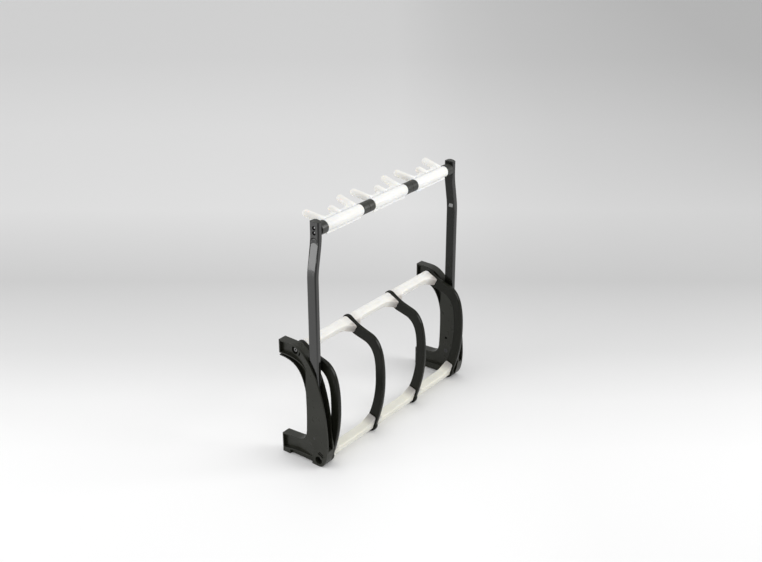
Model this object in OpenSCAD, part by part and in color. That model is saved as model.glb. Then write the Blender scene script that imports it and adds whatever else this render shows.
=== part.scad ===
// Folding rack for three guitars, stored upright with its neck frame folded.
// X runs along the rails, +Y points to the feet of the end plates, +Z is up.
// The origin is the middle of the footprint on the surface that the rack stands on.

/* [Rack] */
// Overall width over the two end plates
rack_w = 606; // [560:1:660]
// Distance from one bow to the next
bay_pitch = 180; // [170:1:182]
// Half of the overall depth, from the bows' front to the feet's end faces
half_depth = 83; // [83:0.5:86]

/* [End plates] */
// Thickness of an end plate
plate_t = 24.5; // [24.5:0.5:28]
// Thickness of the wall outside the post's slot
outer_wall_t = 4.5; // [4:0.5:6]
// Depth of the pockets in the arm and the foot, on each face
pocket_d = 8; // [5:0.5:9]
// Height of the post's pivot
pivot_z = 76; // [74:1:80]
// Angle that the neck frame swings through from folded to open
fold_angle = 103; // [95:1:105]

/* [Bows] */
// Thickness of a bow
bow_t = 12; // [10:0.5:14]
// Radius of the bow's eye around the upper rail
eye_r = 16; // [15:0.5:20]
// Radius of the bow's eye around the lower rail
low_eye_r = 19.5; // [18:0.5:19.5]

/* [Body rails and pads] */
// Outer radius of a body rail
rail_r = 10; // [9:0.5:10.5]
// Wall thickness of the rail tubes
rail_wall = 1.5; // [1:0.5:2.5]
// Radius of a pad's sleeve
pad_r = 13; // [12.5:0.5:14]
// Height of a pad's ends above the rail's axis
pad_end_h = 34; // [28:1:36]
// Height of a pad's low middle above the rail's axis
pad_mid_h = 14.5; // [13.5:0.5:18]
// Length of the steep part of the ramp at each end of a pad
pad_steep = 20; // [12:1:30]
// Length of the whole ramp at each end of a pad
pad_ramp = 50; // [40:1:70]

/* [Neck frame] */
// Width of a post, front to back
post_w = 28; // [24:1:30]
// Thickness of a post
post_t = 14; // [12:0.5:16]
// Wall thickness of a post's tube
post_wall = 2; // [1.5:0.5:3]
// Distance that a post steps inwards at its double bend
post_step = 15; // [10:1:20]
// Height of the lower bend
bend_low_z = 519; // [480:1:530]
// Height of the upper bend
bend_high_z = 600; // [580:1:605]
// Height of the top rail's axis
top_rail_z = 625; // [615:1:640]
// Height of the tops of the posts' caps
cap_top_z = 650; // [646:1:680]

/* [Top rail and neck cradles] */
// Outer radius of the top rail
top_rail_r = 12; // [11:0.5:12.5]
// Radius of a cradle's sleeve
cradle_r = 14.5; // [14:0.5:16]
// Length of one collar
collar_len = 22; // [16:1:26]
// Radius of the collars between the cradles
collar_r = 15; // [14.5:0.5:17]
// Reach of a long finger from the rail's axis
finger_reach = 67; // [50:1:90]
// Reach of the short middle finger
nub_reach = 42; // [30:1:50]
// Radius of a finger
finger_r = 9.5; // [6:0.5:10]
// Distance between the roots of one cradle's long fingers
finger_gap = 113; // [100:1:115]
// Distance that each long finger leans outwards
finger_splay = 7.5; // [0:0.5:8]
// Height that a long finger rises from root to tip
finger_rise = 10; // [0:1:14]

/* [Fasteners] */
// Shank radius of the rail screws
rail_screw_r = 3; // [2.5:0.5:3.5]
// Shank radius of the pivot bolts
pivot_r = 4; // [3:0.5:5]
// Thickness of a pivot washer
washer_t = 0.8; // [0.5:0.1:1.2]
// Distance between the two screws in a post's top
post_screw_gap = 12.4; // [11:0.2:13]

/* [Hidden] */
$fn = 64;

gap = 0.1;                            // running clearance on a radius
plate_x = -rack_w / 2;                // outer face of the left end plate
plate_in_x = plate_x + plate_t;       // its inner face
slot_x = plate_x + outer_wall_t;      // the post's slot starts here
slot_w = post_t + 2 * washer_t;
bow_x = [-1.5, -0.5, 0.5, 1.5] * bay_pitch;  // middle planes of the bows
boss_t = bow_x[0] - bow_t / 2 - plate_in_x;  // seats for the end bows
upper_rail = [35, 303];               // rail axes and pivot, as [y, z]
lower_rail = [-38, 20];
pivot = [-24, pivot_z];
stop_tilt = fold_angle - 90;          // slope of the ledge that stops the open frame
end_pad_t = 1.5;                      // rubber pads on the end faces
end_y = half_depth - end_pad_t;
seat_x = plate_x + 15;                // bottom of the screw wells
socket_x = plate_x + 19;              // bottom of the rail sockets
well_r = 10.5;
detent_rise = 41;                     // second hole, above the pivot
post_x = slot_x + washer_t;           // outer face of a post's lower part
top_x = post_x + post_step + post_t;  // inner face of a post's top
unit_len = -2 * top_x / 3;            // one cradle with its two collars
cap_h = 4;
foot_h = 16;                          // solid foot of a post above its pivot
screw_sink = 4.4;                     // seat of a post screw's head inside the tube
front = -half_depth;
rail_end_x = socket_x + 0.2;
finger_z = 9;                         // root of a finger above the rail's axis
nub_rise = 6;
cradle_tint = [0.96, 0.96, 0.94];
pad_tint = [0.87, 0.87, 0.8];

// Points along a cubic curve with the four control points p.
function curve(p, n = 12) = [for (i = [0:n])
    let (t = i / n, u = 1 - t)
    u * u * u * p[0] + 3 * u * u * t * p[1] + 3 * u * t * t * p[2] + t * t * t * p[3]];

// Lays an outline drawn as [y, z] upright and thickens it from x0 to x1.
module slab(x0, x1) {
    translate([x0, 0, 0]) rotate([90, 0, 90]) linear_extrude(x1 - x0) children();
}

// A rod along X from x0 to x1 around the point at = [y, z].
module rod(x0, x1, r, at) {
    translate([x0, at[0], at[1]]) rotate([0, 90, 0]) cylinder(h = x1 - x0, r = r);
}

module tube(x0, x1, r, wall, at) {
    difference() {
        rod(x0, x1, r, at);
        rod(x0 - 1, x1 + 1, r - wall, at);
    }
}

module mirrored() {
    mirror([1, 0, 0]) children();
}

module both_ends() {
    children();
    mirrored() children();
}

// ---- end plates ----

// Front edge of an end plate, from the arm down to the toe.
toe = curve([[-67, 85], [-68.5, 45], [-63, 0], [-38, 0]], 14);
plate_front = concat(curve([[45, 320], [-24, 318], [-63, 190], [-67, 85]], 22), toe);
// The wall on the rails' side of the slot is set back from the front.
inner_front = concat(
    curve([[45, 320], [-24, 318], [-60, 200], [-62, 110]], 22),
    curve([[-62, 110], [-62.5, 90], [-67, 75], [-67.3, 55]], 8),
    [for (p = toe) if (p[1] < 50) p]);
// Underside, relieved between the toe and the foot's end.
plate_bottom = [[-20, 0], [-8, 2.5], [48, 2.5], [60, 0], [end_y, 0]];
// Foot, heel and the back of the column.
plate_back = concat(
    [[end_y, 54.5]],
    curve([[35, 57], [8, 58], [0, 70], [-1, 95]], 12),
    curve([[-1, 95], [-3, 130], [-3, 175], [-1, 209]], 8));
// The lip and the web make a gusset under the arm, and the walls stop short of it.
lip_outside = curve([[-3, 178], [6, 272], [45, 275], [end_y, 277]], 16);
lip_inside = curve([[end_y, 279.6], [44, 277.8], [3.8, 273.5], [-5.4, 178]], 16);
wall_under_arm = concat([[-3, 252]], curve([[-2, 262], [8, 275], [30, 284.5], [66, 284.5]], 8));

module web_outline() {
    polygon(concat(plate_front, plate_bottom,
        [[end_y, 54.5]],
        curve([[35, 57], [8, 58], [0, 70], [-1, 95]], 12),
        lip_outside,
        [[end_y, 321], [45, 320]]));
}

module wall_outline(front_edge) {
    polygon(concat(front_edge, plate_bottom, plate_back, wall_under_arm,
        [[end_y, 284.5], [end_y, 321]]));
}

// Pockets in the faces of the arm and the foot, inside a 3.2 mm rim.
outer_pocket_top = concat([[-10, 258]],
    curve([[-18, 270.5], [-5.7, 288.7], [17, 316.7], [45, 316.7]], 12));
inner_pocket_top = concat([[-0.5, 267]],
    curve([[-0.5, 270], [1, 295], [20, 316.5], [45, 316.5]], 10));

module arm_pocket(top_edge) {
    polygon(concat(
        [[end_y - 3.2, 317.5], [end_y - 3.2, 287.5]],
        curve([[66, 287.5], [32, 287.5], [10, 279], [1, 268]], 8), top_edge));
}

module foot_pocket() {
    polygon(concat(
        [[end_y - 3.2, 14], [end_y - 3.2, 51.3]],
        curve([[36, 53.5], [20, 54], [8, 58], [2, 68]], 8),
        [[-14, 60], [-22, 44], [-18, 24]],
        curve([[-14, 21], [14, 22], [46, 19.5], [64, 15]], 8)));
}

// Relief along the underside of the foot, on the outer face.
module sole_relief() {
    polygon(concat([[58, -1], [58, 12]],
        curve([[46, 15], [30, 17.5], [14, 18.5], [-22, 17.5]], 8), [[-17, 8], [-14, -1]]));
}

// Space swept by a post between its folded and its open position.
module slot_outline() {
    h = post_w / 2 + 0.8;
    translate(pivot) {
        circle(r = h);
        polygon([[h, 0], [h, 300], [-160, 300],
            [-160, -160 * tan(stop_tilt) - h / cos(stop_tilt)],
            [h * sin(stop_tilt), -h * cos(stop_tilt)]]);
    }
}

// Space of an outer pocket that is full depth at deep_y and runs out at flush_y.
module pocket_ramp(z0, deep_y, flush_y) {
    translate([0, 0, z0]) linear_extrude(120)
        polygon([[plate_x - 1, half_depth], [plate_x + pocket_d, half_depth],
            [plate_x + pocket_d, deep_y], [plate_x - 0.1, flush_y], [plate_x - 1, flush_y]]);
}

module end_plate() {
    color([0.13, 0.13, 0.12])
    difference() {
        union() {
            slab(plate_x + 11, plate_x + 14) web_outline();
            slab(plate_x + 1.5, plate_in_x - 1.5) polygon(concat(lip_outside, lip_inside));
            difference() {
                union() {
                    slab(plate_x, slot_x + slot_w) wall_outline(plate_front);
                    slab(slot_x, plate_in_x) wall_outline(inner_front);
                }
                intersection() {
                    slab(plate_x - 1, plate_x + pocket_d) arm_pocket(outer_pocket_top);
                    pocket_ramp(230, 50, -8);
                }
                intersection() {
                    slab(plate_x - 1, plate_x + pocket_d) foot_pocket();
                    pocket_ramp(-1, 38, -26);
                }
                slab(plate_x - 1, plate_x + 6) sole_relief();
                slab(plate_in_x - pocket_d, plate_in_x + 1) difference() {
                    union() {
                        arm_pocket(inner_pocket_top);
                        foot_pocket();
                    }
                    translate(upper_rail) circle(r = 16);
                }
            }
            rod(plate_in_x - pocket_d, plate_in_x + boss_t, 16, upper_rail);
            rod(plate_in_x - 1, plate_in_x + boss_t, 16, lower_rail);
        }
        slab(slot_x, slot_x + slot_w) slot_outline();
        plate_bores();
        corner_pocket();
    }
}

module plate_bores() {
    rod(plate_x - 1, seat_x, well_r, upper_rail);
    rod(plate_x - 1, seat_x, well_r, lower_rail + [1, -3]);
    for (at = [upper_rail, lower_rail]) {
        rod(seat_x - 1, socket_x + 1, rail_screw_r + 0.3, at);
        rod(socket_x, plate_in_x + boss_t + 1, rail_r + gap, at);
    }
    rod(plate_x - 1, slot_x + 1, 3, pivot);
    rod(slot_x + slot_w - 1, plate_in_x + 1, pivot_r + gap, pivot);
    rod(plate_in_x - 3, plate_in_x + 1, 6.25, pivot);
    rod(slot_x + slot_w - 1, plate_in_x + 1, 3.75, pivot + [0, detent_rise]);
    key_slot();
}

// Keyway beside the upper screw well.
module key_slot() {
    translate([plate_x - 1, 18.3, 299.3]) rotate([21, 0, 0])
        translate([0, -2.2, -8]) cube([pocket_d + 7, 4.4, 16]);
}

// Two parallel pockets above the corner's screw well.
module corner_pocket() {
    translate([plate_x - 1, -36, 35.3]) rotate([27, 0, 0]) {
        translate([0, -17, 0]) cube([8, 18, 4]);
        translate([0, -15, 5.6]) cube([8, 15, 3.6]);
    }
}

module end_plate_left() end_plate();
module end_plate_right() mirrored() end_plate();

// ---- bows ----

bow_outer = concat(
    [[26.1, 316.3]],
    curve([[10, 305.5], [-12, 293], [-30, 290.5], [-45, 284]], 10),
    curve([[-45, 284], [-69, 271.5], [front, 238], [front, 168]], 16),
    curve([[front, 168], [front, 100], [-69, 62], [-57.2, 24]], 16));
bow_inner = concat(
    curve([[-22.4, 31.7], [-38, 50], [-57, 110], [-57, 165]], 14),
    curve([[-57, 165], [-57, 212], [-55, 248], [-24, 261]], 14),
    [[12, 271], [43.1, 289.2]]);

module bow(x) {
    color([0.12, 0.12, 0.11])
    slab(x - bow_t / 2, x + bow_t / 2) difference() {
        union() {
            polygon(concat([upper_rail], bow_outer, [lower_rail], bow_inner));
            translate(upper_rail) circle(r = eye_r);
            translate(lower_rail) circle(r = low_eye_r);
        }
        translate(upper_rail) circle(r = rail_r + gap);
        translate(lower_rail) circle(r = rail_r + gap);
    }
}

module end_bow_left() bow(bow_x[0]);
module divider_bow_left() bow(bow_x[1]);
module divider_bow_right() bow(bow_x[2]);
module end_bow_right() bow(bow_x[3]);

// ---- body rails, their pads and fasteners ----

module upper_rail_tube() {
    color([0.45, 0.45, 0.45]) tube(rail_end_x, -rail_end_x, rail_r, rail_wall, upper_rail);
}

module lower_rail_tube() {
    color([0.45, 0.45, 0.45]) tube(rail_end_x, -rail_end_x, rail_r, rail_wall, lower_rail);
}

pad_half = (bay_pitch - bow_t) / 2 - 0.2;
saddle_half = pad_r - 0.4;            // half width of the saddle across the rail

// Side view of a pad as [x, height above the rail's axis], a little too long at both ends.
module pad_profile() {
    fall = curve([[pad_steep - pad_half, pad_mid_h + 5.5], [pad_steep + 6 - pad_half, pad_mid_h + 2],
        [pad_ramp - 15 - pad_half, pad_mid_h], [pad_ramp - pad_half, pad_mid_h]], 10);
    rise = [for (i = [len(fall) - 1:-1:0]) [-fall[i][0], fall[i][1]]];
    long = pad_half + 2;
    polygon(concat([[-long, pad_end_h], [-pad_half, pad_end_h]], fall, rise,
        [[pad_half, pad_end_h], [long, pad_end_h], [long, 0], [-long, 0]]));
}

// A pad in bay number i, turned so that its saddle faces the direction face.
module pad(i, at, face) {
    x = (i - 1) * bay_pitch;
    color(pad_tint)
    difference() {
        union() {
            rod(x - pad_half - 2, x + pad_half + 2, pad_r, at);
            translate([x, at[0], at[1]]) rotate([face - 90, 0, 0])
                translate([0, saddle_half, 0]) rotate([90, 0, 0])
                    linear_extrude(2 * saddle_half) pad_profile();
        }
        rod(x - pad_half - 3, x + pad_half + 3, rail_r + gap, at);
        for (side = [-1, 1])
            translate([x + side * (pad_half + 4), at[0], at[1]]) cube([8, 90, 90], center = true);
    }
}

upper_face = 208;
lower_face = 107;
module upper_pad_left() pad(0, upper_rail, upper_face);
module upper_pad_middle() pad(1, upper_rail, upper_face);
module upper_pad_right() pad(2, upper_rail, upper_face);
module lower_pad_left() pad(0, lower_rail, lower_face);
module lower_pad_middle() pad(1, lower_rail, lower_face);
module lower_pad_right() pad(2, lower_rail, lower_face);

module rail_plugs() {
    color([0.6, 0.6, 0.6]) both_ends() for (at = [upper_rail, lower_rail])
        tube(rail_end_x, rail_end_x + 22, rail_r - rail_wall - 0.05,
            rail_r - rail_wall - rail_screw_r - 0.1, at);
}

module rail_screws() {
    color([0.8, 0.8, 0.8]) both_ends() for (at = [upper_rail, lower_rail])
        difference() {
            union() {
                rod(seat_x - 6.7, seat_x - 1.2, 5, at);
                rod(seat_x - 1.3, seat_x + 22, rail_screw_r, at);
            }
            rod(seat_x - 7, seat_x - 4, 2.5, at);
        }
}

module rail_washers() {
    color([0.7, 0.7, 0.7]) both_ends() for (at = [upper_rail, lower_rail])
        tube(seat_x - 1.2, seat_x, 6.8, 6.8 - rail_screw_r - 0.1, at);
}

module floor_pads() {
    color([0.06, 0.06, 0.06]) both_ends() for (z = [286, 4])
        translate([plate_x + 2.5, end_y, z])
            cube([plate_t - 5, end_pad_t, z > 100 ? 33 : 46.5]);
}

// ---- neck frame ----

module pivot_bolt() {
    color([0.65, 0.65, 0.65])
    difference() {
        union() {
            rod(plate_x + 0.3, slot_x, 2.95, pivot);
            rod(slot_x, plate_in_x - 2.9, pivot_r, pivot);
            rod(plate_in_x - 2.9, plate_in_x - 0.4, 6.1, pivot);
        }
        rod(plate_in_x - 2.4, plate_in_x, 2, pivot);
    }
}

module pivot_bolt_left() pivot_bolt();
module pivot_bolt_right() mirrored() pivot_bolt();

module pivot_washers() {
    color([0.85, 0.85, 0.85]) both_ends() for (x = [slot_x, slot_x + slot_w - washer_t])
        tube(x, x + washer_t, 11, 11 - pivot_r - gap, pivot);
}

// Outline of a post in [x, z], shrunk by inset on both long sides.
module post_outline(z0, z1, inset) {
    a = post_x + inset;
    b = post_x + post_t - inset;
    polygon([[a, z0], [a, bend_low_z], [a + post_step, bend_high_z], [a + post_step, z1],
        [b + post_step, z1], [b + post_step, bend_high_z], [b, bend_low_z], [b, z0]]);
}

module post_bar(z0, z1, inset) {
    half = post_w / 2 - inset;
    translate([0, pivot[0] + half, 0]) rotate([90, 0, 0])
        linear_extrude(2 * half) post_outline(z0, z1, inset);
}

tube_low_z = pivot_z + foot_h;
tube_high_z = cap_top_z - cap_h;

module post() {
    color([0.2, 0.2, 0.2])
    difference() {
        post_bar(tube_low_z, tube_high_z, 0);
        post_bar(tube_low_z - 1, tube_high_z + 1, post_wall);
        post_screw_bores();
    }
}

// Sunk seats and clearance holes for the screws in a post's top.
module post_screw_bores() {
    for (side = [-0.5, 0.5]) {
        at = [pivot[0], top_rail_z + side * post_screw_gap];
        rod(post_x, post_x + post_step + screw_sink, 5.2, at);
        rod(post_x, top_x + 1, 2.15, at);
    }
}

module post_foot() {
    half = post_w / 2;
    color([0.14, 0.14, 0.14])
    difference() {
        union() {
            rod(post_x, post_x + post_t, half, pivot);
            translate([post_x, pivot[0] - half, pivot_z]) cube([post_t, post_w, foot_h]);
            translate([post_x + post_wall + gap, pivot[0] - half + post_wall + gap, pivot_z])
                cube([post_t - 2 * (post_wall + gap), post_w - 2 * (post_wall + gap), foot_h + 25]);
        }
        rod(post_x - 1, post_x + post_t + 1, pivot_r + 0.05, pivot);
    }
}

// Domed cap with a block that fills the tube behind the screws.
module post_cap() {
    half = post_w / 2;
    dome_r = (half * half + cap_h * cap_h) / (2 * cap_h);
    block_z = bend_high_z + 6;
    color([0.1, 0.1, 0.1])
    difference() {
        union() {
            intersection() {
                translate([post_x + post_step, pivot[0] - half, tube_high_z])
                    cube([post_t, post_w, cap_h]);
                rod(post_x, top_x + 1, dome_r, [pivot[0], cap_top_z - dome_r]);
            }
            translate([post_x + post_step + post_wall + gap, pivot[0] - half + post_wall + gap,
                block_z])
                cube([post_t - 2 * (post_wall + gap), post_w - 2 * (post_wall + gap),
                    tube_high_z - block_z + 0.5]);
        }
        post_screw_bores();
    }
}

module post_left() post();
module post_right() mirrored() post();
module post_foot_left() post_foot();
module post_foot_right() mirrored() post_foot();
module post_cap_left() post_cap();
module post_cap_right() mirrored() post_cap();

// ---- top rail ----

top_rail = [pivot[0], top_rail_z];

module top_rail_tube() {
    color([0.4, 0.4, 0.4]) tube(top_x, -top_x, top_rail_r, rail_wall, top_rail);
}

module top_rail_plugs() {
    color([0.5, 0.5, 0.5]) both_ends()
    difference() {
        rod(top_x, top_x + 25, top_rail_r - rail_wall - 0.05, top_rail);
        for (side = [-0.5, 0.5])
            rod(top_x - 1, top_x + 20, 2.05, top_rail + [0, side * post_screw_gap]);
    }
}

module post_screws() {
    color([0.85, 0.85, 0.85]) both_ends() for (side = [-0.5, 0.5]) {
        at = top_rail + [0, side * post_screw_gap];
        difference() {
            union() {
                rod(post_x + post_step + 1.2, post_x + post_step + screw_sink, 4.2, at);
                rod(post_x + post_step + screw_sink - 0.1, top_x + 14, 2, at);
            }
            rod(post_x + post_step, post_x + post_step + 3, 2, at);
        }
    }
}

// Two collars hold each cradle sideways, and the outermost pair is thicker.
module top_rail_collars() {
    color([0.1, 0.1, 0.1]) for (i = [0:2]) {
        x0 = top_x + i * unit_len;
        x1 = x0 + unit_len - collar_len;
        tube(x0 + gap, x0 + collar_len, i == 0 ? collar_r + 1 : collar_r,
            (i == 0 ? collar_r + 1 : collar_r) - top_rail_r - 0.05, top_rail);
        tube(x1, x1 + collar_len - gap, i == 2 ? collar_r + 1 : collar_r,
            (i == 2 ? collar_r + 1 : collar_r) - top_rail_r - 0.05, top_rail);
    }
}

// A round-ended finger that points to +Y, rises and leans sideways.
module finger(x, reach, rise, splay) {
    run = reach - finger_r;
    long = norm([splay, run, rise]);
    translate([x, top_rail[0], top_rail_z + finger_z])
        rotate([0, 0, -atan(splay / run)]) rotate([atan(rise / norm([run, splay])) - 90, 0, 0])
            rotate_extrude() polygon(concat([[0, 0], [finger_r, 0]],
                [for (a = [0:10:80]) [finger_r * cos(a), long + finger_r * sin(a)]],
                [[0, long + finger_r]]));
}

module neck_cradle(i) {
    x = (i - 1) * unit_len;
    half = unit_len / 2 - collar_len - gap;
    color(cradle_tint)
    difference() {
        union() {
            rod(x - half, x + half, cradle_r, top_rail);
            translate([x - half, top_rail[0] + 1, top_rail_z + 6])
                cube([2 * half, 16, 12]);
            for (side = [-1, 1])
                finger(x + side * finger_gap / 2, finger_reach, finger_rise, side * finger_splay);
            finger(x, nub_reach, nub_rise, 0);
            translate([x - 0.36 * unit_len, top_rail[0] - 6, top_rail_z - cradle_r - 6])
                cube([0.72 * unit_len, 8, 10]);
        }
        rod(x - half - 1, x + half + 1, top_rail_r + gap, top_rail);
    }
}

module neck_cradle_left() neck_cradle(0);
module neck_cradle_middle() neck_cradle(1);
module neck_cradle_right() neck_cradle(2);

end_plate_left();
end_plate_right();
end_bow_left();
divider_bow_left();
divider_bow_right();
end_bow_right();
upper_rail_tube();
lower_rail_tube();
upper_pad_left();
upper_pad_middle();
upper_pad_right();
lower_pad_left();
lower_pad_middle();
lower_pad_right();
rail_plugs();
rail_screws();
rail_washers();
floor_pads();
pivot_bolt_left();
pivot_bolt_right();
pivot_washers();
post_left();
post_right();
post_foot_left();
post_foot_right();
post_cap_left();
post_cap_right();
top_rail_tube();
top_rail_plugs();
top_rail_collars();
post_screws();
neck_cradle_left();
neck_cradle_middle();
neck_cradle_right();
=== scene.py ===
import bmesh
import bpy
import math
from mathutils import Matrix, Vector
from mathutils.geometry import delaunay_2d_cdt


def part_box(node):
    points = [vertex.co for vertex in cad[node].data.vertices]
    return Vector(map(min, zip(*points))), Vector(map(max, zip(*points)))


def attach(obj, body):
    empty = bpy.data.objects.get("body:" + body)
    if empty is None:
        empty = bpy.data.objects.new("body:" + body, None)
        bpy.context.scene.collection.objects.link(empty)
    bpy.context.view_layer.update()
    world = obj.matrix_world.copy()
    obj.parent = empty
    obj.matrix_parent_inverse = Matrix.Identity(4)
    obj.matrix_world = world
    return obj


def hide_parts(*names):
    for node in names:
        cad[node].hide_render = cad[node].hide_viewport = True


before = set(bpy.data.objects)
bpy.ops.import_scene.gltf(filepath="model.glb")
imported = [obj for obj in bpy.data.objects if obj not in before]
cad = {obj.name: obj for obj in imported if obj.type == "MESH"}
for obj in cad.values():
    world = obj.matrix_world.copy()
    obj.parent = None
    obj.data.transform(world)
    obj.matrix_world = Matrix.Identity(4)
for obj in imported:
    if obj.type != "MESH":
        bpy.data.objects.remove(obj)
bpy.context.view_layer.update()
scene = bpy.context.scene
scene.view_settings.view_transform = "Standard"

# Lengths of the object are in millimetres in the row frame, and MM turns them into metres.
# The floor, the lights and the camera at the end are in metres throughout.
MM = 0.001

# (y, z) of the axes that run along the rack
UPPER_RAIL = (35.0, 303.0)
LOWER_RAIL = (-38.0, 20.0)
TOP_RAIL = (-24.0, 625.0)

BOW_X = (-270.0, -90.0, 90.0, 270.0)
PAD_PITCH = 180.0
CRADLE_PITCH = 179.1333
BORE_R = 10.1
POST_X = -297.7
POST_Y = -24.0

# The three guitar places, and where each lies in pitches from the middle
PLACES = (("left", -1), ("middle", 0), ("right", 1))


# ---------------------------------------------------------------- materials

# Where the mottling noise reaches a finish's dark and light colour
DARK_AT, LIGHT_AT = 0.3, 0.72
# How much finer the patches of roughness are than the mottling, and the noise they span
PATCHES_PER_MOTTLE = 5
PATCH_NOISE = (0.3, 0.7)
BUMP_STRENGTH = 0.6
DUST = (0.45, 0.45, 0.43)
DUST_GRAIN = 260.0
# The sockets of a Mix node that mixes colours
MIX_FACTOR, MIX_A, MIX_B, MIX_RESULT = 0, 6, 7, 2


def new_node(tree, kind, **inputs):
    node = tree.nodes.new(kind)
    for key, value in inputs.items():
        node.inputs[key].default_value = value
    return node


def product(tree, a, b, clamp=False):
    """The product of a socket and either another socket or a number."""
    times = new_node(tree, "ShaderNodeMath")
    times.operation = "MULTIPLY"
    times.use_clamp = clamp
    tree.links.new(a, times.inputs[0])
    if isinstance(b, float):
        times.inputs[1].default_value = b
    else:
        tree.links.new(b, times.inputs[1])
    return times.outputs[0]


def mixed(tree, amount, below, colour):
    """The colour socket below, moved towards one fixed colour by the socket amount."""
    blend = new_node(tree, "ShaderNodeMix")
    blend.data_type = "RGBA"
    blend.inputs[MIX_B].default_value = (*colour, 1)
    tree.links.new(amount, blend.inputs[MIX_FACTOR])
    tree.links.new(below, blend.inputs[MIX_A])
    return blend.outputs[MIX_RESULT]


def remapped(tree, value, low, high, to_low=0.0, to_high=1.0):
    """The socket value, spread from low...high over to_low...to_high."""
    spread = new_node(tree, "ShaderNodeMapRange", **{
        "From Min": low, "From Max": high, "To Min": to_low, "To Max": to_high})
    tree.links.new(value, spread.inputs["Value"])
    return spread.outputs["Result"]


def finish(name, dark, light, rough, grain, depth, mottle=14.0, stretch=(1, 1, 1),
           metallic=0.0, specular=0.5, soft=0.0, soft_radius=(1, 1, 1), soft_scale=0.004,
           wear=0.0, thick=None):
    """A procedural surface: mottled colour, uneven roughness and a fine grain in the bump.
    wear is the share of dust on the faces that look up. thick is a darker colour,
    painted on a milky piece as shade where its thickness attribute marks it."""
    mat = bpy.data.materials.new(name)
    mat.use_nodes = True
    tree = mat.node_tree
    link = tree.links.new
    shader = tree.nodes["Principled BSDF"]
    shader.inputs["Metallic"].default_value = metallic
    shader.inputs["Specular IOR Level"].default_value = specular
    shader.inputs["Subsurface Weight"].default_value = soft
    shader.inputs["Subsurface Radius"].default_value = soft_radius
    shader.inputs["Subsurface Scale"].default_value = soft_scale

    place = new_node(tree, "ShaderNodeTexCoord").outputs["Object"]
    mapping = new_node(tree, "ShaderNodeMapping", Scale=stretch)
    link(place, mapping.inputs["Vector"])
    stretched = mapping.outputs["Vector"]

    def noise(where, scale, detail, **inputs):
        cloud = new_node(tree, "ShaderNodeTexNoise", Scale=scale, Detail=detail, **inputs)
        link(where, cloud.inputs["Vector"])
        return cloud.outputs["Fac"]

    ramp = new_node(tree, "ShaderNodeValToRGB")
    stops = ramp.color_ramp.elements
    for stop, at, shade in zip(stops, (DARK_AT, LIGHT_AT), (dark, light)):
        stop.position = at
        stop.color = (*shade, 1)
    link(noise(stretched, mottle, 6.0, Roughness=0.6), ramp.inputs["Fac"])
    colour = ramp.outputs["Color"]
    if wear:
        facing = new_node(tree, "ShaderNodeNewGeometry")
        split = new_node(tree, "ShaderNodeSeparateXYZ")
        link(facing.outputs["Normal"], split.inputs["Vector"])
        dust = product(tree, split.outputs["Z"], noise(place, DUST_GRAIN, 3.0), clamp=True)
        colour = mixed(tree, product(tree, dust, wear), colour, DUST)
    # Painted shade: the colour moves towards thick as far as the attribute marks it
    if thick:
        shade_amount = new_node(tree, "ShaderNodeAttribute")
        shade_amount.attribute_name = "thickness"
        colour = mixed(tree, shade_amount.outputs["Fac"], colour, thick)
    link(colour, shader.inputs["Base Color"])

    patches = noise(stretched, mottle * PATCHES_PER_MOTTLE, 4.0)
    link(remapped(tree, patches, *PATCH_NOISE, *rough), shader.inputs["Roughness"])

    bump = new_node(tree, "ShaderNodeBump", Strength=BUMP_STRENGTH, Distance=depth)
    link(noise(stretched, grain, 3.0), bump.inputs["Height"])
    link(bump.outputs["Normal"], shader.inputs["Normal"])
    return mat


MILKY = dict(soft=0.6, soft_radius=(1.0, 0.93, 0.8), soft_scale=0.006)
ALONG_POST = (1, 1, 0.06)
ALONG_RAIL = (0.05, 1, 1)

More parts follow.
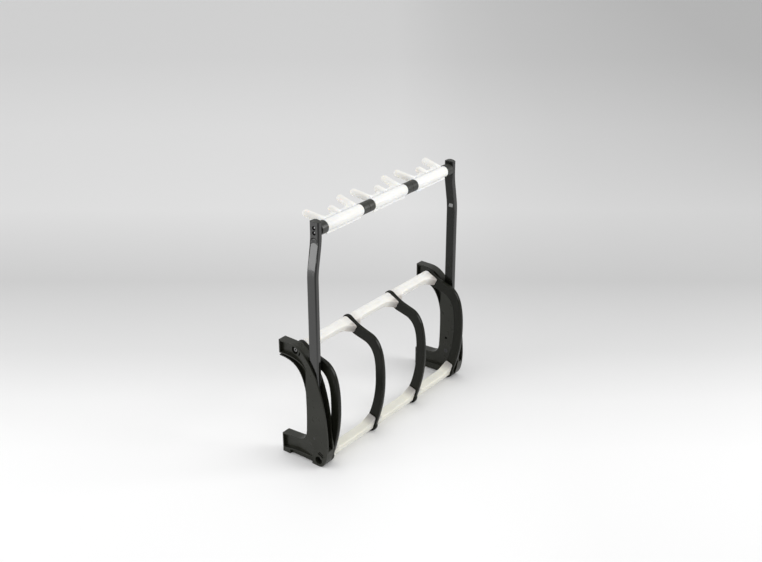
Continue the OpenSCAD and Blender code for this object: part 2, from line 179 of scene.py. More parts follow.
# Each finish: name, dark and light colour, range of roughness, grain per metre, bump in metres
materials = {
    "casting": finish("satin powder coat", (0.0125, 0.013, 0.0085), (0.0185, 0.0195, 0.0135),
                      (0.26, 0.34), 2200, 0.00004, wear=0.03, specular=0.27),
    "bow": finish("black moulding", (0.0075, 0.008, 0.0055), (0.0105, 0.0112, 0.0075),
                  (0.2, 0.27), 2600, 0.00003, mottle=9, wear=0.015, specular=0.15),
    "rail": finish("drawn steel", (0.36, 0.36, 0.36), (0.5, 0.5, 0.5), (0.25, 0.4), 1500,
                   0.00003, stretch=ALONG_RAIL, metallic=1.0),
    # The pads' thick colours are shade painted on their ends next to the bows
    "body_pad": finish("ivory elastomer", (0.83, 0.815, 0.77), (0.90, 0.885, 0.84),
                       (0.38, 0.5), 900, 0.00005, mottle=22, thick=(0.47, 0.44, 0.415),
                       **MILKY),
    # A darker, yellower copy of the ivory elastomer, for the lower pads
    "lower_pad": finish("ivory elastomer, darker and yellower", (0.70, 0.69, 0.615), (0.775, 0.765, 0.69),
                        (0.38, 0.5), 900, 0.00005, mottle=22, thick=(0.42, 0.405, 0.385),
                        **MILKY),
    "floor_rubber": finish("floor rubber", (0.012, 0.012, 0.012), (0.02, 0.02, 0.02),
                           (0.7, 0.85), 1400, 0.00012, specular=0.3),
    "insert": finish("turned steel", (0.42, 0.42, 0.42), (0.55, 0.55, 0.55), (0.3, 0.45), 1800,
                     0.00003, metallic=1.0),
    "screw": finish("dull zinc", (0.17, 0.17, 0.17), (0.26, 0.26, 0.255), (0.16, 0.26), 1600,
                    0.00002, mottle=60, metallic=1.0),
    "black_bolt": finish("black oxide", (0.012, 0.012, 0.012), (0.022, 0.022, 0.023),
                         (0.3, 0.42), 1500, 0.00002, mottle=40),
    "nylon": finish("natural nylon", (0.74, 0.74, 0.7), (0.86, 0.86, 0.83), (0.4, 0.5), 1000,
                    0.00003, soft=0.3, soft_scale=0.002),
    "post": finish("dark anodising", (0.004, 0.0042, 0.0034), (0.007, 0.0073, 0.006),
                   (0.13, 0.18), 1900, 0.00001, mottle=10, stretch=ALONG_POST, wear=0.01,
                   specular=0.78),
    # A duller copy of the anodising on the posts' inner faces: painted shade, as the right post's
    # inner face sits in shade among the frame's parts
    "post_shaded_inner": finish("dark anodising, shaded inner face", (0.0055, 0.006, 0.0045),
                          (0.0085, 0.009, 0.007), (0.2, 0.28), 1900, 0.00001, mottle=10,
                          stretch=ALONG_POST, specular=0.25),
    "black_plastic": finish("black collar plastic", (0.021, 0.022, 0.018),
                            (0.031, 0.032, 0.027), (0.28, 0.4), 1700, 0.00005),
    # The cradle's thick colour is shade painted on its fingers towards their tips
    "neck_cradle": finish("white elastomer", (0.85, 0.85, 0.825), (0.90, 0.90, 0.88),
                          (0.36, 0.48), 800, 0.00005, mottle=18, thick=(0.82, 0.81, 0.78),
                          **MILKY),
}


# ---------------------------------------------------------------- objects

def mesh_object(name, verts, faces, material):
    """A smooth-shaded object from points in millimetres."""
    mesh = bpy.data.meshes.new(name)
    mesh.from_pydata([tuple(c * MM for c in v) for v in verts], [], faces)
    mesh.update()
    mesh.materials.append(materials[material])
    mesh.polygons.foreach_set("use_smooth", [True] * len(mesh.polygons))
    obj = bpy.data.objects.new(name, mesh)
    scene.collection.objects.link(obj)
    return obj


def fix_normals(obj):
    """Merges doubled points and turns every face outwards."""
    bm = bmesh.new()
    bm.from_mesh(obj.data)
    bmesh.ops.remove_doubles(bm, verts=bm.verts, dist=1e-6)
    bmesh.ops.recalc_face_normals(bm, faces=bm.faces)
    bm.to_mesh(obj.data)
    bm.free()


def even_normals(obj):
    obj.modifiers.new("even normals", "WEIGHTED_NORMAL").weight = 80


def soft_edges(obj, width, angle):
    """Rounds the edges that turn by more than angle degrees."""
    soft = obj.modifiers.new("soft edges", "BEVEL")
    soft.width = width * MM
    soft.segments = 2
    soft.limit_method = "ANGLE"
    soft.angle_limit = math.radians(angle)


def settled(obj, name):
    """A new object with obj's modifiers applied, in place of obj."""
    graph = bpy.context.evaluated_depsgraph_get()
    mesh = bpy.data.meshes.new_from_object(obj.evaluated_get(graph))
    mesh.name = name
    other = bpy.data.objects.new(name, mesh)
    scene.collection.objects.link(other)
    bpy.data.objects.remove(obj)
    return other


def copy_of(obj, name, matrix):
    """The same mesh again under another name, with its points moved by matrix."""
    mesh = obj.data.copy()
    mesh.transform(matrix)
    if matrix.determinant() < 0:
        mesh.flip_normals()
    mesh.name = name
    other = bpy.data.objects.new(name, mesh)
    scene.collection.objects.link(other)
    for m in obj.modifiers:
        other.modifiers.new(m.name, m.type).weight = m.weight
    return other


def shift(x, y=0.0, z=0.0):
    return Matrix.Translation((x * MM, y * MM, z * MM))


def stand_for(obj, body, slot, *nodes):
    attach(obj, body)
    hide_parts(*nodes)


# ---------------------------------------------------------------- outlines and tubes

def curve(p, n):
    """n + 1 points along the cubic Bezier curve of four (x, y) control points."""
    points = []
    for i in range(n + 1):
        t = i / n
        u = 1 - t
        w = (u ** 3, 3 * u * u * t, 3 * u * t * t, t ** 3)
        points.append((sum(a * q[0] for a, q in zip(w, p)), sum(a * q[1] for a, q in zip(w, p))))
    return points


def curves(pieces):
    """One line of points along (control points, steps) curves that follow each other."""
    points = []
    for p, n in pieces:
        points += curve(p, n)[1 if points else 0:]
    return points


def arc(centre, r, start, end, n):
    angles = [math.radians(start + (end - start) * i / n) for i in range(n + 1)]
    return [(centre[0] + r * math.cos(a), centre[1] + r * math.sin(a)) for a in angles]


def ring(x, centre, r, n):
    """n points of a circle around an axis along X through the (y, z) of centre."""
    return [(x, y, z) for y, z in arc(centre, r, 0, 360, n)[:-1]]


def even_loop(points, n):
    """n points, evenly spaced along a closed outline."""
    pts = [Vector(p) for p in points]
    lengths = [(pts[(i + 1) % len(pts)] - pts[i]).length for i in range(len(pts))]
    step = sum(lengths) / n
    out = []
    i = 0
    walked = 0.0
    for k in range(n):
        target = k * step
        while walked + lengths[i] < target:
            walked += lengths[i]
            i += 1
        f = (target - walked) / lengths[i] if lengths[i] else 0
        out.append(pts[i].lerp(pts[(i + 1) % len(pts)], f))
    return out


def inward(loop):
    """Unit vectors that point into a closed outline."""
    n = len(loop)
    area = sum(loop[i].x * loop[(i + 1) % n].y - loop[(i + 1) % n].x * loop[i].y
               for i in range(n))
    sign = 1 if area > 0 else -1
    out = []
    for i in range(n):
        d = (loop[(i + 2) % n] - loop[i - 2]).normalized()
        out.append(Vector((-d.y, d.x)) * sign)
    return out


def bridge(faces, a, b, n):
    """Quads between two rings of n points that start at the point numbers a and b."""
    for i in range(n):
        j = (i + 1) % n
        faces.append((a + i, a + j, b + j, b + i))


def tube(verts, faces, rings, lids=True):
    """Joins rings of points one after another, and closes both ends if lids is set."""
    n = len(rings[0])
    first = len(verts)
    for points in rings:
        start = len(verts)
        verts += points
        if start > first:
            bridge(faces, start - n, start, n)
    if lids:
        faces.append(tuple(range(first, first + n)))
        faces.append(tuple(range(len(verts) - n, len(verts))))


def block(verts, faces, low, high):
    base = len(verts)
    verts += [(x, y, z) for x in (low[0], high[0]) for y in (low[1], high[1])
              for z in (low[2], high[2])]
    for f in ((0, 1, 3, 2), (4, 6, 7, 5), (0, 4, 5, 1), (2, 3, 7, 6), (0, 2, 6, 4), (1, 5, 7, 3)):
        faces.append(tuple(base + k for k in f))


# ---------------------------------------------------------------- bows

BOW_FRONT = -83.0
BOW_FRONT_EDGE = ((((10, 305.5), (-12, 293), (-30, 290.5), (-45, 284)), 14),
                  (((-45, 284), (-69, 271.5), (BOW_FRONT, 238), (BOW_FRONT, 168)), 24),
                  (((BOW_FRONT, 168), (BOW_FRONT, 100), (-69, 62), (-57.2, 24)), 20))
BOW_BACK_EDGE = ((((-22.4, 31.7), (-38, 50), (-57, 110), (-57, 165)), 20),
                 (((-57, 165), (-57, 212), (-55, 248), (-24, 261)), 20))
BOW_UNDER_UPPER_EYE = (12, 271)
UPPER_EYE_R = 16.0
LOWER_EYE_R = 19.5
BOW_POINTS = 360
EYE_POINTS = 48

# How far in from the outline, and half of how thick the bow is there
BOW_SECTION = ((0.12, 2.0), (0.4, 3.9), (0.85, 5.1), (1.4, 5.75), (2.0, 6.0), (2.4, 5.85),
               (2.8, 5.35), (3.2, 5.2))
# Radius round a rail's bore, and half of how thick the bow is there
EYE_SECTION = ((BORE_R, 5.2), (BORE_R + 0.3, 5.75), (BORE_R + 0.6, 6.0), (BORE_R + 1.3, 6.0),
               (BORE_R + 1.6, 5.5), (BORE_R + 1.9, 5.2))


def bow_outline():
    return (arc(UPPER_RAIL, UPPER_EYE_R, -60, 124, 20) + curves(BOW_FRONT_EDGE)
            + arc(LOWER_RAIL, LOWER_EYE_R, 169, 396, 26) + curves(BOW_BACK_EDGE)
            + [BOW_UNDER_UPPER_EYE])


def fill_between(verts, faces, loops):
    """Fills the flat face between an outline and the eyes in it, all lists of point numbers."""
    edges = []
    base = 0
    for loop in loops:
        edges += [(base + i, base + (i + 1) % len(loop)) for i in range(len(loop))]
        base += len(loop)
    numbers = [k for loop in loops for k in loop]
    points = [Vector(verts[k][1:]) for k in numbers]
    spots, _, triangles, sources, _, _ = delaunay_2d_cdt(points, edges, [], 1, 1e-5)
    eye_edge = EYE_SECTION[-1][0] - 0.05
    for triangle in triangles:
        middle = sum((spots[k] for k in triangle), Vector((0, 0))) / len(triangle)
        if all((middle - Vector(rail)).length > eye_edge for rail in (UPPER_RAIL, LOWER_RAIL)):
            faces.append(tuple(numbers[sources[k][0]] for k in triangle))


def bow_mesh():
    """A bow around x = 0: rounded front and back edges, a shallow recess in both faces."""
    n, m = BOW_POINTS, EYE_POINTS
    rim = even_loop(bow_outline(), n)
    lean = inward(rim)
    verts = [(0.0, p.x, p.y) for p in rim]
    faces = []
    bores = {}
    for side in (-1, 1):
        before = 0
        for inset, half in BOW_SECTION:
            start = len(verts)
            verts += [(side * half, p.x + q.x * inset, p.y + q.y * inset)
                      for p, q in zip(rim, lean)]
            bridge(faces, before, start, n)
            before = start
        loops = [list(range(before, before + n))]
        for rail in (UPPER_RAIL, LOWER_RAIL):
            first = len(verts)
            tube(verts, faces, [ring(side * half, rail, r, m) for r, half in EYE_SECTION],
                 lids=False)
            if rail in bores:
                bridge(faces, bores[rail], first, m)
            bores[rail] = first
            loops.append(list(range(len(verts) - m, len(verts))))
        fill_between(verts, faces, loops)
    return verts, faces


bow = mesh_object("bow_master", *bow_mesh(), "bow")
fix_normals(bow)
even_normals(bow)
for x, name in zip(BOW_X, ("end_bow_left", "divider_bow_left", "divider_bow_right",
                           "end_bow_right")):
    stand_for(copy_of(bow, name + "_moulding", shift(x)), "base", "bow", name)
bpy.data.objects.remove(bow)


# ---------------------------------------------------------------- body pads

PAD_HALF = 83.8
PAD_R = 13.0
PAD_SIDE = 12.6
PAD_END_H = 34.0
PAD_MID_H = 14.5
PAD_POINTS = 96

# The saddle's slope from its end down to its low middle: distance from the middle and height
PAD_SLOPE = [(PAD_HALF, PAD_END_H)] + curve(
    ((PAD_HALF - 20, PAD_MID_H + 5.5), (PAD_HALF - 26, PAD_MID_H + 2),
     (PAD_HALF - 35, PAD_MID_H), (PAD_HALF - 50, PAD_MID_H)), 24)

# Above TALL_SADDLE the saddle's top corners are sharper. The numbers are the exponents of its
# rounded box: the higher, the squarer.
TALL_SADDLE = 18
SQUARE_TALL, SQUARE_LOW = 9, 7

# Distance in from a pad's end, and how much smaller the section is there
PAD_END_EDGE = ((0.0, 1.2), (0.35, 0.4), (1.2, 0.0))
# Further sections: PAD_STEP apart on the slope, then two on the flat middle
PAD_SLOPE_FROM = PAD_HALF - 3
PAD_STEP = 2.2
PAD_SLOPE_TO = 18
PAD_FLAT_AT = (16, 5)

# The directions in which the saddles of the two rails face, in degrees from +Y towards +Z
UPPER_PAD_FACING = 208
LOWER_PAD_FACING = 107

# Painted shade on a pad's ends next to the bows, strongest on the saddle: where it starts
# and how far it runs, from the middle along the rail, and above its axis
SHADE_FROM, SHADE_RUN = 58, 18
SADDLE_FROM, SADDLE_RUN = 15, 5
# The share of the painted shade that reaches below the saddle
SHADE_BELOW_SADDLE = 0.3


def pad_height(x):
    """Height of the saddle above the rail's axis at distance x from the pad's middle."""
    x = abs(x)
    for (x1, h1), (x0, h0) in zip(PAD_SLOPE, PAD_SLOPE[1:]):
        if x >= x0:
            return h0 + (h1 - h0) * (x - x0) / (x1 - x0)
    return PAD_MID_H


def pad_section(x, inset):
    """A saddle with softly rounded top corners on a round sleeve, around the rail's axis."""
    height = pad_height(x)
    k = SQUARE_TALL if height > TALL_SADDLE else SQUARE_LOW
    out = []
    for c, s in arc((0, 0), 1, 0, 360, PAD_POINTS)[:-1]:
        r = PAD_R
        if s > 0:
            r = max(r, (abs(c / PAD_SIDE) ** k + (s / height) ** k) ** (-1 / k))
        out.append((x, c * (r - inset), s * (r - inset)))
    return out


def pad_mesh():
    """A pad around x = 0 with its saddle towards +Z and an open bore for the rail."""
    stations = [(-PAD_HALF + x, inset) for x, inset in PAD_END_EDGE]
    x = PAD_SLOPE_FROM
    while x > PAD_SLOPE_TO:
        stations.append((-x, 0.0))
        x -= PAD_STEP
    stations += [(-x, 0.0) for x in PAD_FLAT_AT]
    stations += [(-x, inset) for x, inset in reversed(stations)]
    bores = [ring(x, (0, 0), BORE_R, PAD_POINTS) for x in (-PAD_HALF, PAD_HALF)]
    verts = []
    faces = []
    tube(verts, faces, [bores[0]] + [pad_section(x, inset) for x, inset in stations]
         + [bores[1]], lids=False)
    bridge(faces, len(verts) - PAD_POINTS, 0, PAD_POINTS)
    return verts, faces


def share(value, start, run):
    """How far value has come from start along run, from 0 to 1."""
    return min(1.0, max(0.0, (value - start) / run))


def mark_thickness(obj, shade_at):
    """Writes the thickness attribute, the share of painted shade at each point,
    from shade_at, a function of a point in millimetres.
    """
    marks = obj.data.attributes.new("thickness", "FLOAT", "POINT")
    for v, mark in zip(obj.data.vertices, marks.data):
        mark.value = shade_at(v.co / MM)


# Painted shade towards a pad's ends by the bows, full on the saddle
def pad_shade(p):
    on_saddle = share(p.z, SADDLE_FROM, SADDLE_RUN)
    return share(abs(p.x), SHADE_FROM, SHADE_RUN) * (
        SHADE_BELOW_SADDLE + (1 - SHADE_BELOW_SADDLE) * on_saddle)


pad = mesh_object("pad_master", *pad_mesh(), "body_pad")
fix_normals(pad)
even_normals(pad)
mark_thickness(pad, pad_shade)
for rail, at, facing in (("upper", UPPER_RAIL, UPPER_PAD_FACING),
                         ("lower", LOWER_RAIL, LOWER_PAD_FACING)):
    turn = Matrix.Rotation(math.radians(facing - 90), 4, "X")
    for place, side in PLACES:
        name = "%s_pad_%s" % (rail, place)
        piece = copy_of(pad, name + "_saddle", shift(side * PAD_PITCH, *at) @ turn)
        if rail == "lower":
            piece.data.materials[0] = materials["lower_pad"]
        stand_for(piece, "base", "body_pad", name)
bpy.data.objects.remove(pad)


# ---------------------------------------------------------------- neck cradles

CRADLE_HALF = 67.4
SLEEVE_R = 14.4
SEAM_R = 15.7
TUCKED_R = SLEEVE_R - 1.2
SLEEVE_POINTS = 72
# Distance in from the sleeve's end and radius there
SLEEVE_EDGE = ((0.0, SLEEVE_R - 0.9), (0.3, SLEEVE_R - 0.3), (0.9, SLEEVE_R))

# Lengths from the top rail's axis. Blocks are (half width, from, to) in y and z.
UPPER_FLANGE = (CRADLE_HALF - 0.6, (2, 3), (20, 12.5))
LOWER_FLANGE = (64.5, (-6, -20), (2, -10))
FINGER_R = (9.6, 9.5)
LONG_FINGER = ((56, 8, 8), (63, 57.5, 18))
LONG_FINGER_ROOT = (52, 13, (9, 4), (26, 13))
SHORT_FINGER = ((0, 8, 8), (0, 32.5, 15))
SHORT_FINGER_ROOT = (0, 17, (9, 4), (25, 13))
SKIN_VOXEL = 0.9
FILLET_PASSES = 10
# Painted shade on the fingers, darker towards their tips, from this far behind the rail's axis
FINGER_SHADE_FROM, FINGER_SHADE_RUN = 14, 12


def rod(verts, faces, start, end, r0, r1, n=20, steps=8, round_steps=7):
    """A closed round-ended rod from start, radius r0, to end, radius r1."""
    a, b = Vector(start), Vector(end)
    axis = (b - a).normalized()
    side = axis.cross(Vector((0, 0, 1))).normalized()
    up = side.cross(axis)
    rings = [(a.lerp(b, i / steps), r0 + (r1 - r0) * i / steps) for i in range(steps + 1)]
    for i in range(1, round_steps):
        t = math.pi / 2 * i / round_steps
        rings.append((b + axis * r1 * math.sin(t), r1 * math.cos(t)))
    circle = arc((0, 0), 1, 0, 360, n)[:-1]
    base = len(verts)
    tube(verts, faces, [[tuple(centre + (side * c + up * s) * r) for c, s in circle]
                        for centre, r in rings], lids=False)
    low = len(verts)
    last_ring = low - n
    verts += [tuple(a), tuple(b + axis * r1)]
    for i in range(n):
        j = (i + 1) % n
        faces.append((base + j, base + i, low))
        faces.append((last_ring + i, last_ring + j, low + 1))


def cradle_blocks():
    """The overlapping solids that the cradle's skin is drawn over."""
    y, z = TOP_RAIL
    verts = []
    faces = []

    def slab(middle, half, low, high):
        block(verts, faces, (middle - half, y + low[0], z + low[1]),
              (middle + half, y + high[0], z + high[1]))

    def finger(side, ends, root):
        start, end = [(side * x, y + dy, z + dz) for x, dy, dz in ends]
        rod(verts, faces, start, end, *FINGER_R)
        slab(side * root[0], *root[1:])

    slab(0, *UPPER_FLANGE)
    slab(0, *LOWER_FLANGE)
    for side in (-1, 1):
        finger(side, LONG_FINGER, LONG_FINGER_ROOT)
    finger(1, SHORT_FINGER, SHORT_FINGER_ROOT)
    return verts, faces


def cradle_skin():
    """The fingers and flanges as one filleted skin, tucked under the sleeve at the seam."""
    obj = mesh_object("cradle_blocks", *cradle_blocks(), "neck_cradle")
    bpy.context.view_layer.update()
    remesh = obj.modifiers.new("one skin", "REMESH")
    remesh.mode = "VOXEL"
    remesh.voxel_size = SKIN_VOXEL * MM
    remesh.use_smooth_shade = True
    smooth = obj.modifiers.new("fillets", "SMOOTH")
    smooth.factor = 0.5
    smooth.iterations = FILLET_PASSES
    skin = settled(obj, "cradle_skin")
    y, z = TOP_RAIL
    for v in skin.data.vertices:
        off = Vector((v.co.y / MM - y, v.co.z / MM - z))
        if off.length < SEAM_R:
            off *= TUCKED_R / max(off.length, 1.0)
            v.co.y = (y + off.x) * MM
            v.co.z = (z + off.y) * MM
    return skin


def cradle_master():
    """A cradle around x = 0: fingers and flanges, and a sleeve with a fine seam round it."""
    skin = cradle_skin()
    verts = []
    faces = []
    stations = [(x - CRADLE_HALF, r) for x, r in SLEEVE_EDGE]
    stations += [(-x, r) for x, r in reversed(stations)]
    tube(verts, faces, [ring(x, TOP_RAIL, r, SLEEVE_POINTS) for x, r in stations])
    sleeve = mesh_object("cradle_sleeve", verts, faces, "neck_cradle")
    fix_normals(sleeve)
    both = bmesh.new()
    both.from_mesh(skin.data)
    both.from_mesh(sleeve.data)
    both.to_mesh(skin.data)
    both.free()
    bpy.data.objects.remove(sleeve)
    # Painted shade on the fingers towards their tips
    mark_thickness(skin, lambda p: share(p.y - TOP_RAIL[0], FINGER_SHADE_FROM, FINGER_SHADE_RUN))
    return skin


cradle = cradle_master()
for place, side in PLACES:
    name = "neck_cradle_" + place
    piece = copy_of(cradle, name + "_moulding", shift(side * CRADLE_PITCH))
    stand_for(piece, "neck_frame", "neck_cradle", name)
bpy.data.objects.remove(cradle)


# ---------------------------------------------------------------- posts

POST_W = 28.0
POST_T = 14.0
POST_CORNER = 4.0
POST_STEP = 15.0
BEND_LOW = 519.0
BEND_HIGH = 600.0
BEND_REACH = 17.0
LEAN = POST_STEP / (BEND_HIGH - BEND_LOW)

# Points of the post's section: across its wide faces, its narrow ones and its corners
WIDE_STEPS, NARROW_STEPS, CORNER_STEPS = 18, 4, 8
# Parts of the post's height, and how close its rings of points are there
FINE_ZONES = ((505, 533), (584, 612))
BENT_ZONE = (495, 625)
FINE, MEDIUM, COARSE = 1.0, 3.0, 12.0

# The pressed mark under the screws: an arch-shaped groove above a band without the lean
ARCH_TOP = 606.0
ARCH_DROP = 9.0
ARCH_BAND = 11.0
ARCH_FADE = 50
GROOVE_DEPTH = 2.4
GROOVE_HALF = 1.4
# The notches at both sides of the band
NOTCH_FROM = 8.3
NOTCH_DEPTH = 1.6
# The pressed mark on the inner face at the lower bend
DENT_TOP = BEND_LOW + 5
DENT_HALF = 7
DENT_LENGTH = 10
DENT_DEPTH = 4.0

# The screws' seats in the outer face
OUTER_FACE = POST_X + POST_STEP
SCREW_SIDES = (-0.5, 0.5)
SCREW_GAP = 12.4
SEAT_R = 5.2
SEAT_DEPTH = 4.4
SEAT_POINTS = 64

CAP_DOME = 3.6
# Rings of the cap: how far in from its outline, how far below its roof where that matters,
# and how far above its foot at least
CAP_RINGS = ((0.5, None, 0.0), (0.0, None, 0.35), (0.0, 1.0, 0.4), (0.3, 0.5, 0.5),
             (1.0, 0.1, 0.5), (2.2, 0.0, 0.5), (4.0, 0.0, 0.5), (6.5, 0.0, 0.5))
# A post's inner face has normals that look along the rack; it gets the duller copy of the
# anodising, painted shade
INNER_FACING = 0.97


def post_shift(z):
    """How far the post has stepped inwards at height z, with both bends rounded."""
    def turned(d):
        if d <= -BEND_REACH:
            return 0.0
        if d >= BEND_REACH:
            return d
        return (d + BEND_REACH) ** 2 / (4 * BEND_REACH)
    return LEAN * (turned(z - BEND_LOW) - turned(z - BEND_HIGH))


def post_section():
    """(across, front to back) points of a flat tube with rounded corners."""
    a, b, r = POST_T / 2, POST_W / 2, POST_CORNER
    wide, narrow = 2 * (b - r) / WIDE_STEPS, 2 * (a - r) / NARROW_STEPS
    out = [(-a, b - r - wide * i) for i in range(WIDE_STEPS + 1)]
    out += arc((-a + r, -b + r), r, 180, 270, CORNER_STEPS)[1:]
    out += [(-a + r + narrow * i, -b) for i in range(1, NARROW_STEPS + 1)]
    out += arc((a - r, -b + r), r, 270, 360, CORNER_STEPS)[1:]
    out += [(a, -b + r + wide * i) for i in range(1, WIDE_STEPS + 1)]
    out += arc((a - r, b - r), r, 0, 90, CORNER_STEPS)[1:]
    out += [(a - r - narrow * i, b) for i in range(1, NARROW_STEPS + 1)]
    out += arc((-a + r, b - r), r, 90, 180, CORNER_STEPS)[1:-1]
    return out


def dent(across, y, z):
    """Depth of the pressed marks: the arch under the screws outside, a notch lower inside."""
    if across < -POST_T / 2 + 0.5:
        below = ARCH_TOP - ARCH_DROP * (y / (POST_W / 2)) ** 2 - z
        groove = GROOVE_DEPTH * max(0.0, 1 - abs(below) / GROOVE_HALF)
        if abs(y) > NOTCH_FROM and 0 < below < ARCH_BAND + 2:
            groove = NOTCH_DEPTH
        band = LEAN * min(max(below, 0.0), ARCH_BAND)
        return max(groove, band * max(0.0, 1 - max(0.0, below - ARCH_BAND) / ARCH_FADE))
    if across > POST_T / 2 - 0.5:
        below = DENT_TOP - z
        if abs(y) <= DENT_HALF and 0 <= below <= DENT_LENGTH:
            return DENT_DEPTH * (1 - below / DENT_LENGTH)
    return 0.0


def post_heights(low, high):
    heights = [low]
    while heights[-1] < high - 0.01:
        z = heights[-1]
        if any(a < z < b for a, b in FINE_ZONES):
            step = FINE
        else:
            step = MEDIUM if BENT_ZONE[0] < z < BENT_ZONE[1] else COARSE
        heights.append(min(high, z + step))
    return heights


def post_mesh(low, high):
    """The left post between two heights."""
    rings = []
    for z in post_heights(low, high):
        middle = POST_X + POST_T / 2 + post_shift(z)
        rings.append([(middle + a - math.copysign(dent(a, b, z), a), POST_Y + b, z)
                      for a, b in post_section()])
    verts = []
    faces = []
    tube(verts, faces, rings)
    return verts, faces


def screw_axes():
    """The (y, z) of both screws in a post's top."""
    return [(TOP_RAIL[0], TOP_RAIL[1] + side * SCREW_GAP) for side in SCREW_SIDES]


def sink_screws(post):
    """Cuts the two seats for the screw heads into a post's outer face."""
    verts = []
    faces = []
    for axis in screw_axes():
        tube(verts, faces, [ring(x, axis, SEAT_R, SEAT_POINTS)
                            for x in (OUTER_FACE - 2, OUTER_FACE + SEAT_DEPTH)])
    cutter = mesh_object("seat_cutter", verts, faces, "post")
    fix_normals(cutter)
    cut = post.modifiers.new("seats", "BOOLEAN")
    cut.operation = "DIFFERENCE"
    cut.solver = "EXACT"
    cut.object = cutter
    bpy.context.view_layer.update()
    solid = settled(post, "post_seated")
    bpy.data.objects.remove(cutter)
    return solid


def cap_mesh(low, top):
    """The domed end cap on the left post's top."""
    section = [Vector(p) for p in post_section()]
    lean = inward(section)
    rings = []
    for inset, drop, rise in CAP_RINGS:
        points = []
        for p, q in zip(section, lean):
            a, b = p + q * inset
            z = low + rise
            if drop is not None:
                z = max(z, top - CAP_DOME * (b / (POST_W / 2)) ** 2 - drop)
            points.append((OUTER_FACE + POST_T / 2 + a, POST_Y + b, z))
        rings.append(points)
    verts = []
    faces = []
    tube(verts, faces, rings)
    return verts, faces


post_low, post_high = [corner.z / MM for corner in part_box("post_left")]
cap_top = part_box("post_cap_left")[1].z / MM
post = mesh_object("post_blank", *post_mesh(post_low, post_high), "post")
fix_normals(post)
post = sink_screws(post)
soft_edges(post, 0.3, 50)
post = settled(post, "post_left_tube")
# The inner faces get the duller anodising copy, painted shade
post.data.materials.append(materials["post_shaded_inner"])
for face in post.data.polygons:
    if face.normal.x > INNER_FACING:
        face.material_index = 1
even_normals(post)
cap = mesh_object("post_cap_left_dome", *cap_mesh(post_high, cap_top), "black_plastic")
fix_normals(cap)
mirror = Matrix.Scale(-1, 4, (1, 0, 0))
stand_for(copy_of(post, "post_right_tube", mirror), "neck_frame", "post", "post_right")
stand_for(post, "neck_frame", "post", "post_left")
stand_for(copy_of(cap, "post_cap_right_dome", mirror), "neck_frame", "black_plastic",
          "post_cap_right")
stand_for(cap, "neck_frame", "black_plastic", "post_cap_left")


# ---------------------------------------------------------------- post screws

# Depth under the post's outer face and radius along a button-head screw
SCREW_PROFILE = ((2.0, 0.01), (2.05, 1.2), (2.3, 2.2), (2.8, 2.9), (3.4, 3.2), (4.35, 3.2),
                 (4.35, 2.0))
SCREW_TIP = (-254.7, 2.0)
SCREW_POINTS = 32


def screw_mesh():
    """The four screws that hold the top rail: two through each post's top."""
    profile = [(OUTER_FACE + depth, r) for depth, r in SCREW_PROFILE] + [SCREW_TIP]
    verts = []
    faces = []
    for hand in (1, -1):
        for axis in screw_axes():
            tube(verts, faces, [ring(hand * x, axis, r, SCREW_POINTS) for x, r in profile])
    return verts, faces


screws = mesh_object("post_screw_set", *screw_mesh(), "screw")
fix_normals(screws)
even_normals(screws)
stand_for(screws, "neck_frame", "screw", "post_screws")


# ---------------------------------------------------------------- CAD nodes that stay visible

SAME_POINT = 0.01
FLAT_WITHIN = 0.6
SHARP_ABOVE = 28

# CAD node, material and how wide its softened edges are
DRESSED = (
    ("end_plate_left", "casting", 1.0), ("end_plate_right", "casting", 1.0),
    ("upper_rail_tube", "rail", 0.2), ("lower_rail_tube", "rail", 0.2),
    ("rail_plugs", "insert", 0.2), ("rail_screws", "screw", 0.4),
    ("rail_washers", "screw", 0.2), ("floor_pads", "floor_rubber", 0.4),
    ("pivot_bolt_left", "black_bolt", 0.3), ("pivot_bolt_right", "black_bolt", 0.3),
    ("pivot_washers", "nylon", 0.15),
    ("post_foot_left", "casting", 0.8), ("post_foot_right", "casting", 0.8),
    ("top_rail_tube", "rail", 0.2), ("top_rail_plugs", "insert", 0.2),
    ("top_rail_collars", "black_plastic", 1.2))


def dress(name, material, bevel):
    """Softens a CAD node's edges and gives it its material."""
    obj = cad[name]
    obj.data.materials.clear()
    obj.data.materials.append(materials[material])
    obj.data.polygons.foreach_set("use_smooth", [True] * len(obj.data.polygons))
    obj.modifiers.new("weld", "WELD").merge_threshold = SAME_POINT * MM
    flat = obj.modifiers.new("flat faces", "DECIMATE")
    flat.decimate_type = "DISSOLVE"
    flat.angle_limit = math.radians(FLAT_WITHIN)
    soft_edges(obj, bevel, SHARP_ABOVE)
    even_normals(obj)


for name, material, bevel in DRESSED:
    dress(name, material, bevel)


# ---------------------------------------------------------------- floor, light, camera

FLOOR_EDGES = (-12, 14)
# Just under the object, so that its lowest faces stay visible
FLOOR_Z = -0.0002

# Directions on the floor as the camera sees it, and the floor's grey at some distances in
# metres from the object along them. Both greys are multiplied. The greys are painted light
# and shade: a painted falloff of the studio light over the sweep, and a painted dark patch
# near the camera, out of view, for the black parts to reflect.
AWAY = (0.797, 0.604, 0)
PAINTED_LIGHT_AWAY = ((-2.6, 0.55), (-1.2, 0.38), (-0.7, 0.90), (-0.385, 0.91), (-0.19, 0.91),
              (0.06, 0.852), (0.354, 0.718), (0.857, 0.587), (1.543, 0.73), (2.646, 0.735),
              (4.2, 0.68))
ASIDE = (0.604, -0.797, 0)
PAINTED_LIGHT_ASIDE = ((-0.6, 1.0), (0.1, 0.985), (0.5, 0.89), (0.9, 0.83), (2.2, 0.72))


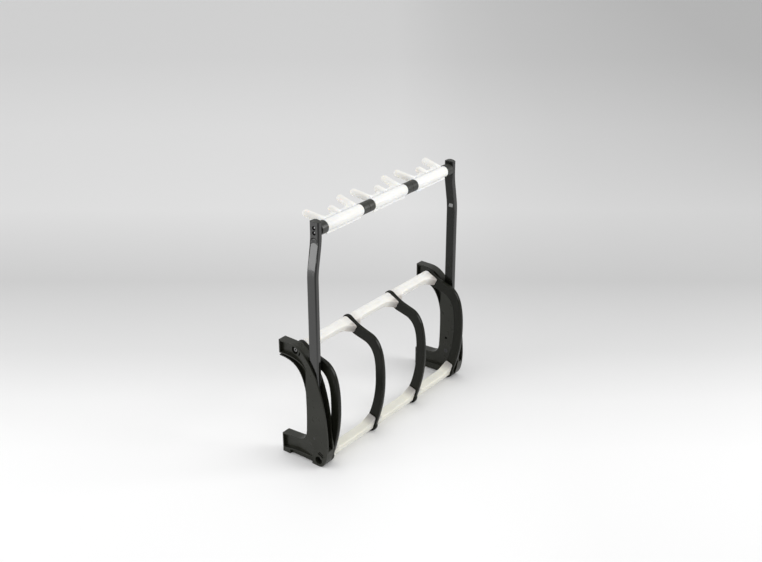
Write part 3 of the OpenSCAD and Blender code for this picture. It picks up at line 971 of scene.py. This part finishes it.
def tone_along(tree, place, direction, tones):
    """A grey of painted light and shade that follows tones along a direction on the floor."""
    along = new_node(tree, "ShaderNodeVectorMath")
    along.operation = "DOT_PRODUCT"
    along.inputs[1].default_value = direction
    tree.links.new(place, along.inputs[0])
    near, far = tones[0][0], tones[-1][0]
    ramp = new_node(tree, "ShaderNodeValToRGB")
    tree.links.new(remapped(tree, along.outputs["Value"], near, far), ramp.inputs["Fac"])
    stops = ramp.color_ramp.elements
    for k, (distance, grey) in enumerate(tones):
        at = (distance - near) / (far - near)
        if k == 0:
            stop = stops[0]
        elif k == len(tones) - 1:
            stop = stops[len(stops) - 1]
        else:
            stop = stops.new(at)
        stop.position = at
        stop.color = (grey, grey, grey, 1)
    return ramp.outputs["Color"]


def floor():
    low, high = FLOOR_EDGES
    mesh = bpy.data.meshes.new("studio_floor")
    mesh.from_pydata([(low, low, 0), (high, low, 0), (high, high, 0), (low, high, 0)], [],
                     [(0, 1, 2, 3)])
    obj = bpy.data.objects.new("studio_floor", mesh)
    scene.collection.objects.link(obj)
    obj.location.z = FLOOR_Z
    mat = bpy.data.materials.new("studio sweep, painted light falloff")
    mat.use_nodes = True
    tree = mat.node_tree
    shader = tree.nodes["Principled BSDF"]
    shader.inputs["Roughness"].default_value = 0.75
    shader.inputs["Specular IOR Level"].default_value = 0.2
    place = new_node(tree, "ShaderNodeTexCoord").outputs["Object"]
    both = new_node(tree, "ShaderNodeVectorMath")
    both.operation = "MULTIPLY"
    for k, (direction, tones) in enumerate(((AWAY, PAINTED_LIGHT_AWAY), (ASIDE, PAINTED_LIGHT_ASIDE))):
        tree.links.new(tone_along(tree, place, direction, tones), both.inputs[k])
    tree.links.new(both.outputs["Vector"], shader.inputs["Base Color"])
    mesh.materials.append(mat)


def softbox(name, where, towards, size, power):
    """A rectangular light at where that looks towards a point."""
    data = bpy.data.lights.new(name, "AREA")
    data.shape = "RECTANGLE"
    data.size, data.size_y = size
    data.energy = power
    obj = bpy.data.objects.new(name, data)
    obj.location = where
    aim = Vector(towards) - Vector(where)
    obj.rotation_euler = aim.to_track_quat("-Z", "Y").to_euler()
    scene.collection.objects.link(obj)


def ceiling(strength, towards_light, spread):
    """One very wide soft light high above the object, even over the whole floor."""
    data = bpy.data.lights.new("ceiling", "SUN")
    data.energy = strength
    data.angle = math.radians(spread)
    obj = bpy.data.objects.new("ceiling", data)
    obj.location = (0, 0, 3)
    obj.rotation_euler = Vector(towards_light).to_track_quat("Z", "Y").to_euler()
    scene.collection.objects.link(obj)


def sky(strength):
    """White light from all around."""
    world = bpy.data.worlds.new("studio")
    scene.world = world
    world.use_nodes = True
    background = world.node_tree.nodes["Background"]
    background.inputs["Color"].default_value = (1, 1, 1, 1)
    background.inputs["Strength"].default_value = strength


def camera(where, tilt, turn, lens):
    """A camera at where, tilted up from straight down and turned to the left by degrees."""
    data = bpy.data.cameras.new("camera")
    cam = bpy.data.objects.new("camera", data)
    scene.collection.objects.link(cam)
    scene.camera = cam
    data.sensor_width = 36.0
    data.lens = lens
    cam.location = where
    cam.rotation_euler = (math.radians(tilt), 0, math.radians(turn))


camera(where=(-2.05823, -1.56293, 1.56585), tilt=65.53, turn=-52.84, lens=52.04)
floor()
ceiling(strength=1.1, towards_light=(-0.2, 0.27, 0.94), spread=100)
softbox("left_softbox", where=(-2.43, 1.59, 0.62), towards=(-0.29, 0, 0.5), size=(1.4, 1.15),
        power=18)
softbox("right_softbox", where=(1.3, -2.4, 1.5), towards=(0, 0, 0.3), size=(1.6, 1.6), power=42)
sky(strength=0.58)
